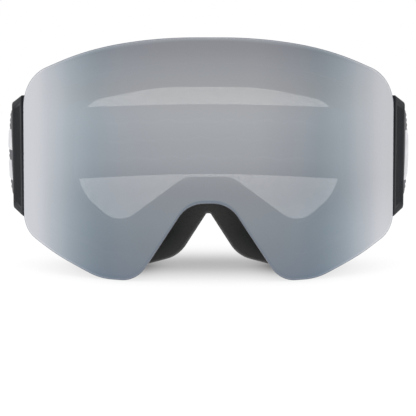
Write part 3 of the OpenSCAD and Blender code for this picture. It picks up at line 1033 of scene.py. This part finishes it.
def crown(s, z):
    """How far the edges of the front stretch fall back from its middle."""
    f = (s + BOW_L) / BOW_L
    if not 0 < f < 1:
        return 0.0
    return 1.3 * math.sin(math.pi * f) ** 2 * ((z - STRAP_Z) * 2 / STRAP_H) ** 2


def ribbon(name, stations, thick, height, material, uv_start=0.0, lifts=None, falls=None):
    """Webbing along stations of (point, outward), with a UV of mm along and up."""
    section = np.array(band_section(thick, height))
    rings, uvs = [], []
    run, last = uv_start, stations[0][0]
    for k, (point, outward) in enumerate(stations):
        run += float(np.linalg.norm(point - last))
        last = point
        out = section[:, 0] - (falls[k] if falls else 0) * (section[:, 1] * 2 / STRAP_H) ** 2
        rings.append(np.column_stack([point[0] + outward[0] * out, point[1] + outward[1] * out,
                                      STRAP_Z + section[:, 1] + (lifts[k] if lifts else 0)]))
        uvs += [(run, v) for v in section[:, 1]]
    obj = lofted(name, rings, material, False, 60)
    set_uv(obj, uvs)
    return obj


def eased(f):
    """From 0 to 1 with a gentle start and end."""
    return f * f * (3 - 2 * f)


def lift(s):
    """The webbing rises a little towards the rear middle."""
    return REAR_LIFT * eased(min(1.0, max(0.0, (s - SIDE_L) / (HALF_L - SIDE_L))))


def offset_path(s, out):
    p, n = path(s)
    return p + out * n, n


def print_patch(s0, s1, z0, z1, slant, thick=0.42):
    """A raised printed block on the outside of the strap, slanted at both ends."""
    rows, cols = 8, max(6, int((s1 - s0) / 1.5))
    face, rim, root = (STRAP_T / 2 + out for out in (thick, 0.05, -0.3))
    rings = []
    for i in range(cols + 1):
        s = s0 + (s1 - s0) * i / cols
        outer, inner = [], []
        for k in range(rows + 1):
            f = k / rows
            z = z0 + (z1 - z0) * f
            along = s + slant * (f - 0.5)
            p, n = path(along)
            proud = rim if i in (0, cols) or k in (0, rows) else face
            for line, out in ((outer, proud), (inner, root)):
                line.append((*(p + (out - crown(along, z)) * n), z + lift(s)))
        rings.append(np.array(outer + inner[::-1]))
    return lofted("print", rings, M["print"], False, 60)


def stitch_row(station, out_sign, fall=0.0, pitch=2.6):
    """Thread stitches in an upright row at one place on the strap, as pairs of verts and faces."""
    p, n = station
    t = np.array([-n[1], n[0]])
    parts = []
    for z in np.arange(STRAP_Z - 19, STRAP_Z + 19, pitch):
        rings = []
        for f in np.linspace(0, 1, 7):
            zz = z + pitch / 2 + (2 * f - 1) * pitch * 0.34
            proud = STRAP_T / 2 + 0.06 * math.sin(math.pi * f)
            r = 0.15 * math.sqrt(max(0.05, math.sin(math.pi * f)))
            back = fall * ((zz - STRAP_Z) * 2 / STRAP_H) ** 2
            ring = []
            for a in np.radians(np.arange(0, 360, 60)):
                q = p + n * (out_sign * (proud + r * math.cos(a)) - back) + t * r * math.sin(a)
                ring.append((q[0], q[1], zz))
            rings.append(np.array(ring))
        parts.append(loft_data(rings, closed=False))
    return parts


def merged(name, chunks, material):
    """One object from several pairs of verts and faces."""
    verts, faces, base = [], [], 0
    for v, f in chunks:
        verts.append(v)
        faces += [[base + i for i in face] for face in f]
        base += len(v)
    return fix_normals(mesh_object(name, np.vstack(verts), faces, material, 60))


def front_stations():
    """From the folded end, round the bar, and out along the bow to the keeper, with the crown of each."""
    bar = np.array([BAR.x, BAR.y])
    bar_r, slack = 1.5, 0.3
    r_loop = bar_r + slack + STRAP_T / 2
    edge = STRAP_Z + STRAP_H / 2
    stations, falls = [], []
    # the folded end lies on the inner face of the strap
    for s in np.linspace(*FOLD, 9):
        p, n = path(s)
        stations.append((p - STRAP_T * n, -n))
        falls.append(-crown(s, edge))
    start = bar - r_loop * direction(FRONT_A)
    inner, n_in = stations[-1]
    for f in (0.3, 0.6, 0.85):
        p = inner * (1 - f) + start * f
        stations.append((p, unit(n_in * (1 - f) - direction(FRONT_A) * f)))
        falls.append(-crown(FOLD[1], edge) * (1 - f))
    for a in np.linspace(FRONT_A - 180, FRONT_A, 19):
        stations.append((bar + r_loop * direction(a), direction(a)))
        falls.append(0.0)
    places = [*np.linspace(-BOW_L, 0, 40)[1:], JOIN]
    stations += [path(s) for s in places]
    falls += [crown(s, edge) for s in places]
    return stations, falls


# foot and head of the white blocks that show beside the lens, from the middle of the strap
FRONT_PRINTS = {"right": [(-13.8, 11.2)], "left": [(1.2, 11.6), (-13.8, -3.8)]}


def build_strap_front(side):
    """The stretch from the bar to the keeper."""
    stations, falls = front_stations()
    length = sum(float(np.linalg.norm(b[0] - a[0])) for a, b in zip(stations[:-1], stations[1:]))
    band = ribbon("band", stations, STRAP_T - 0.04, STRAP_H - 0.3, M["webbing"], -length, None, falls)
    chunks = []
    for s in (-26.2, -27.4):
        p, n = path(s)
        fall = crown(s, STRAP_Z + STRAP_H / 2)
        chunks += stitch_row((p, n), 1, fall) + stitch_row((p - STRAP_T * n, n), -1, fall)
    threads = merged("threads", chunks, M["thread"])
    prints = [print_patch(-37.0, -15.0, STRAP_Z + z0, STRAP_Z + z1, 2.5, 0.6)
              for z0, z1 in FRONT_PRINTS[side]]
    parts = [band, threads, *prints]
    if side == "left":
        made = parts
        parts = [mirror_x(o, o.name + "_m") for o in made]
        for o in made:
            bpy.data.objects.remove(o)
    name = "strap_front_" + side
    piece = join_keep_uv(name + "_webbing", parts)
    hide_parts(name)
    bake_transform(piece)


def join_keep_uv(name, objects):
    """Joins meshes with bpy, so that the UV layers survive."""
    for o in objects:
        if "Path" not in o.data.uv_layers:
            o.data.uv_layers.new(name="Path")
    bpy.ops.object.select_all(action="DESELECT")
    for o in objects:
        o.select_set(True)
    bpy.context.view_layer.objects.active = objects[0]
    bpy.ops.object.join()
    whole = bpy.context.view_layer.objects.active
    whole.name = name
    whole.data.name = name
    whole.select_set(False)
    return whole


def build_strap_main():
    """The sides and the rear in one band, with plain printed blocks."""
    places = np.concatenate([np.linspace(JOIN, SIDE_L, 26), SIDE_L + np.linspace(0, CORNER_L, 22)[1:],
                             SIDE_L + CORNER_L + np.linspace(0, REAR_L, 40)[1:]])
    right = [path(s) for s in places]
    left = [(p * [-1, 1], n * [-1, 1]) for p, n in right[:-1]][::-1]
    lifts = [lift(s) for s in places]
    band = ribbon("band", right + left, STRAP_T - 0.04, STRAP_H - 0.3, M["webbing"], JOIN,
                  lifts + lifts[:-1][::-1])
    parts = [band]
    # generic printed blocks go on round the sides and the rear
    for s0, s1 in ((SIDE_L + 6, SIDE_L + 34), (SIDE_L + 42, SIDE_L + 62), (SIDE_L + 70, SIDE_L + 104)):
        patch = print_patch(s0, s1, STRAP_Z - 11, STRAP_Z + 11, 7)
        parts += [patch, mirror_x(patch, "print_m")]
    piece = join_keep_uv("strap_main_webbing", parts)
    dress(piece, "frame", "webbing", "strap_main")


def build_tails():
    """The doubled layer inside each straight stretch, which runs out onto the strap in the corner."""
    gap, straight_end = 4.2, 41.2
    corner_end = math.radians(28) * CORNER_R
    stations = [offset_path(s, -gap) for s in np.linspace(0.4, straight_end, 24)]
    for f in (0.25, 0.5, 0.75, 1.0):
        s = straight_end + (SIDE_L - straight_end) * f
        stations.append(offset_path(s, -gap + (gap - STRAP_T) * eased(f)))
    stations += [offset_path(SIDE_L + s, -STRAP_T) for s in np.linspace(0, corner_end, 9)[1:]]
    band = ribbon("band", stations, STRAP_T - 0.06, STRAP_H - 0.6, M["tail"])
    chunks = []
    for s in (SIDE_L + 9, SIDE_L + 15):
        p, n = path(s)
        chunks += stitch_row((p - STRAP_T * n, n), -1) + stitch_row((p, n), 1)
    parts = [band, merged("threads", chunks, M["thread"])]
    dress_both(join_keep_uv("strap_tail_right_webbing", parts), "frame", "webbing", "strap_tail_{}")


def side_matrix(s):
    """Local axes at a place on the straight stretch: Y along the strap, X outwards."""
    p = path(s)[0]
    return Matrix.Translation(Vector((p[0], p[1], 0)) * MM) @ Matrix.Rotation(math.radians(SIDE_A), 4, "Z")


def keeper_loop(outline, count):
    """Points round the keeper's outline, no more than about 2 mm apart, or count of them."""
    loop = rounded(outline, 15)
    dense = []
    for a, b in zip(loop, np.roll(loop, -1, 0)):
        steps = max(1, int(np.linalg.norm(b - a) / 2))
        dense += [a + (b - a) * k / steps for k in range(steps)]
    return np.array(dense) if count in (None, len(dense)) else resample_closed(loop, count)


def build_keepers():
    """Elastic loops round both layers of webbing."""
    width, thick, round_off = 4.4, 0.9, 0.3
    half = STRAP_H / 2 + 0.6 + thick
    outline = [(x, STRAP_Z + z, 0.8 + thick) for x, z in ((1.35 + thick, half), (1.35 + thick, -half),
                                                         (-5.55 - thick, -half), (-5.55 - thick, half))]
    section = ((0.0, round_off), (0.0, width - round_off), (round_off, width), (thick - round_off, width),
               (thick, width - round_off), (thick, round_off), (thick - round_off, 0.0), (round_off, 0.0))
    rings, uvs = [], []
    for t, y in section:
        loop = keeper_loop(inset(outline, t), len(rings[0]) if rings else None)
        rings.append(np.column_stack([loop[:, 0], np.full(len(loop), 1.6 + y), loop[:, 1]]))
        uvs += [(p[1], y) for p in loop]
    right = lofted("keeper_right_loop", rings, M["keeper"], sharp=60)
    set_uv(right, uvs)
    right.data.transform(side_matrix(0.0))
    dress_both(right, "frame", "keeper", "strap_keeper_{}")


def resample_closed(loop, count):
    """As many points as asked for, evenly spaced along a closed loop."""
    closed = np.vstack([loop, loop[:1]])
    along = np.concatenate([[0], np.cumsum(np.linalg.norm(np.diff(closed, axis=0), axis=1))])
    places = np.linspace(0, along[-1], count, endpoint=False)
    return np.column_stack([np.interp(places, along, closed[:, k]) for k in (0, 1)])


def soft_bar(x0, x1, y0, y1, z0, z1, r):
    """A bar of the adjuster with generously rounded edges."""
    return prism("bar", rounded_rectangle(x0, x1, y0, y1, r, 6), z0, z1, M["adjuster"], min(0.35, r * 0.7),
                 place=side_matrix(24.0))


def build_sliders():
    """Ladder adjusters: two rails, two outer bars and one inner bar."""
    low, high = (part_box("slider_right")[k].z / MM for k in (0, 1))
    parts = [soft_bar(-5.6, 2.9, -4.5, 4.5, z, z + 3, 1.2) for z in (low, high - 3)]
    parts += [soft_bar(1.4, 2.9, y, y + 2.2, low + 1, high - 1, 0.6) for y in (-4.5, 2.3)]
    parts.append(soft_bar(-2.9, -1.3, -1.5, 1.5, low + 1, high - 1, 0.7))
    dress_both(joined("slider_right_buckle", parts), "slider_{}", "adjuster", "slider_{}")


def build_grip():
    """Wavy silicone beads on the inside of the strap's rear."""
    chunks = []
    count = 180
    reach = math.radians(REAR_A - 2) * REAR_R
    for z0 in (-11, 0, 11):
        rings = []
        for i in range(count + 1):
            s = -reach + 2 * reach * i / count
            taper = math.sin(math.pi * min(0.5, max(0.02, 6 * min(i, count - i) / count)))
            z = STRAP_Z + z0 + 0.9 * math.sin(s / 3.2) + lift(HALF_L - abs(s))
            n = direction(90 + math.degrees(s / REAR_R))
            ring = []
            for b in np.radians(np.linspace(0, 360, 10, endpoint=False)):
                out = REAR_R - STRAP_T / 2 + 0.12 - 0.55 * max(-0.15, math.cos(b)) * max(0.3, taper)
                q = REAR_C + out * n
                ring.append((q[0], q[1], z + max(0.15, taper) * math.sin(b)))
            rings.append(np.array(ring))
        chunks.append(loft_data(rings, closed=False))
    dress(merged("grip_beads", chunks, M["silicone"]), "frame", "silicone", "silicone_grip")


def dress_cad_nodes():
    """CAD nodes whose shapes stay get their materials."""
    for names, key in ((("lens_magnets", "frame_magnets"), "magnet"),
                       (("hinge_pin_left", "hinge_pin_right", "strap_bar_left", "strap_bar_right"), "steel")):
        for name in names:
            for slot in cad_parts[name].material_slots:
                slot.material = M[key]


# ---------------------------------------------------------------- stage, light and camera
def build_stage():
    """A glowing floor that meets the white backdrop without a seam, with a painted shadow where it glows
    less.
    """
    half = 6.0
    mesh = bpy.data.meshes.new("floor")
    corners = [(-half, -half, 0), (half, -half, 0), (half, half, 0), (-half, half, 0)]
    mesh.from_pydata(corners, [], [(0, 1, 2, 3)])
    floor = linked("floor", mesh)
    n = Nodes("floor", (0.12, 0.12, 0.12), 0.9, specular=0.0)
    x, y, _ = n.split(n.object_place())
    across = n.math("ABSOLUTE", x)

    def away(value, centre, spread, power=2.0):
        distance = n.math("ABSOLUTE", n.math("DIVIDE", n.math("SUBTRACT", value, centre), spread))
        return n.math("POWER", distance, power)

    def patch(a, b):
        return n.math("EXPONENT", n.math("MULTIPLY", n.math("ADD", a, b), -0.5))

    # painted shadow under the goggles, and a deeper painted shadow by the lobes of the lens
    broad = patch(away(across, 0.0, 0.050, 4.0), away(y, y_of(62) * MM, 0.0275))
    lobes = patch(away(across, 0.038, 0.008), away(y, y_of(50) * MM, 0.020))
    n.to("Emission Color", n.math("SUBTRACT", 0.90, n.weighted(broad, 0.49, lobes, 0.42), True))
    n.value("Emission Strength", 1.0)
    mesh.materials.append(n.mat)
    floor.location.z = -0.0001
    floor.visible_glossy = False


def build_world():
    """White to the eye; in reflections, grey in front and white at the sides and behind."""
    world = bpy.data.worlds.new("studio")
    bpy.context.scene.world = world
    world.use_nodes = True
    world.node_tree.nodes.clear()
    t = Tree(world.node_tree)
    white, brightest = (1.0,) * 3, 1.2

    def soft_ramp(fac, stops):
        return t.ramp(fac, stops, "CARDINAL")

    def bright_ramp(fac, stops):
        """A ramp's own colours stop at 1, so they are scaled down, and the result is scaled up again."""
        scaled = [(place, tuple(v / brightest for v in value)) for place, value in stops]
        return t.mix(1.0, soft_ramp(fac, scaled), (brightest,) * 3, "MULTIPLY")

    x, y, z = t.split(t.node("ShaderNodeTexCoord").outputs["Generated"])
    # angle from -Y round to +Y, 0 to 1
    flat = t.math("ARCTAN2", t.math("ABSOLUTE", x), t.math("MULTIPLY", y, -1.0))
    azimuth = t.math("DIVIDE", flat, math.pi)
    side = bright_ramp(azimuth, [
        (0.0, (0.60, 0.61, 0.63)), (0.15, (0.59, 0.60, 0.62)), (0.26, (0.56, 0.585, 0.62)),
        (0.36, (0.54, 0.60, 0.645)), (0.456, (0.72, 0.77, 0.815)), (0.54, (0.94, 0.95, 0.98)),
        (0.60, (1.06, 1.05, 1.07)), (0.75, white)])
    # height of the direction, with the front's soft bright band at the horizon
    up = t.math("ADD", t.math("MULTIPLY", z, 2.5), 0.5)
    band = bright_ramp(up, [
        (0.10, (0.55, 0.61, 0.68)), (0.148, (0.62, 0.67, 0.715)), (0.191, (0.665, 0.71, 0.74)),
        (0.234, (0.72, 0.765, 0.79)), (0.308, (0.79, 0.80, 0.81)), (0.363, (0.95,) * 3),
        (0.417, (1.03, 1.03, 1.02)), (0.471, (1.10, 1.09, 1.07)), (0.514, (1.03, 1.0, 0.96)),
        (0.558, (0.94, 0.93, 0.92)), (0.590, (0.85, 0.84, 0.84)), (0.622, (0.76, 0.75, 0.76)),
        (0.70, (0.80,) * 3), (1.0, (0.95,) * 3)])
    frontness = soft_ramp(azimuth, [(0.30, 1.0), (0.60, 0.0)])
    mixed = t.mix(frontness, white, band)
    # the right-hand surroundings are a little dimmer than the left-hand ones
    lateral = t.math("ADD", t.math("MULTIPLY", x, 0.5), 0.5)
    dimmer = soft_ramp(lateral, [(0.70, 1.0), (0.90, 0.90), (0.97, 0.885)])
    low = soft_ramp(up, [(0.20, 1.0), (0.33, 0.0)])
    glossy = t.mix(1.0, t.mix(1.0, side, mixed, "MULTIPLY"), t.mix(low, dimmer, white), "MULTIPLY")
    pick = t.mix(t.node("ShaderNodeLightPath").outputs["Is Glossy Ray"], white, glossy)
    back = t.node("ShaderNodeBackground")
    t.link(pick, back.inputs["Color"])
    t.link(back.outputs[0], t.node("ShaderNodeOutputWorld").inputs["Surface"])


def area_light(name, place, target, size, power):
    data = bpy.data.lights.new(name, "AREA")
    data.size = size
    data.energy = power
    light = linked(name, data)
    light.location = place
    light.rotation_euler = (Vector(target) - Vector(place)).to_track_quat("-Z", "Y").to_euler()
    light.visible_glossy = False


def build_lights():
    area_light("top", (0, -0.1, 1.5), (0, 0, 0), 1.6, 7.0)
    area_light("left", (-1.1, -0.7, 0.8), (0, 0, 0.05), 0.8, 2.5)
    area_light("right", (1.1, -0.7, 0.8), (0, 0, 0.05), 0.8, 2.0)


def build_camera():
    """Half a metre in front of the lens, looking slightly down."""
    data = bpy.data.cameras.new("camera")
    data.lens, data.sensor_width, data.clip_start = 99.5, 36.0, 0.01
    camera = linked("camera", data)
    camera.location = (0.0, y_of(-500) * MM, 0.080)
    pitch, yaw = math.radians(5.355), math.radians(0.02)
    camera.rotation_euler = (math.pi / 2 - pitch, 0, yaw)
    bpy.context.scene.camera = camera


def main():
    build_lens()
    build_frame_ring()
    build_skirt()
    build_foam()
    build_vent_foams()
    build_outriggers()
    for side in ("right", "left"):
        build_strap_front(side)
    build_strap_main()
    build_tails()
    build_keepers()
    build_sliders()
    build_grip()
    dress_cad_nodes()
    build_stage()
    build_world()
    build_lights()
    build_camera()
    scene = bpy.context.scene
    scene.view_settings.view_transform = "Standard"
    scene.view_settings.look = "None"


main()
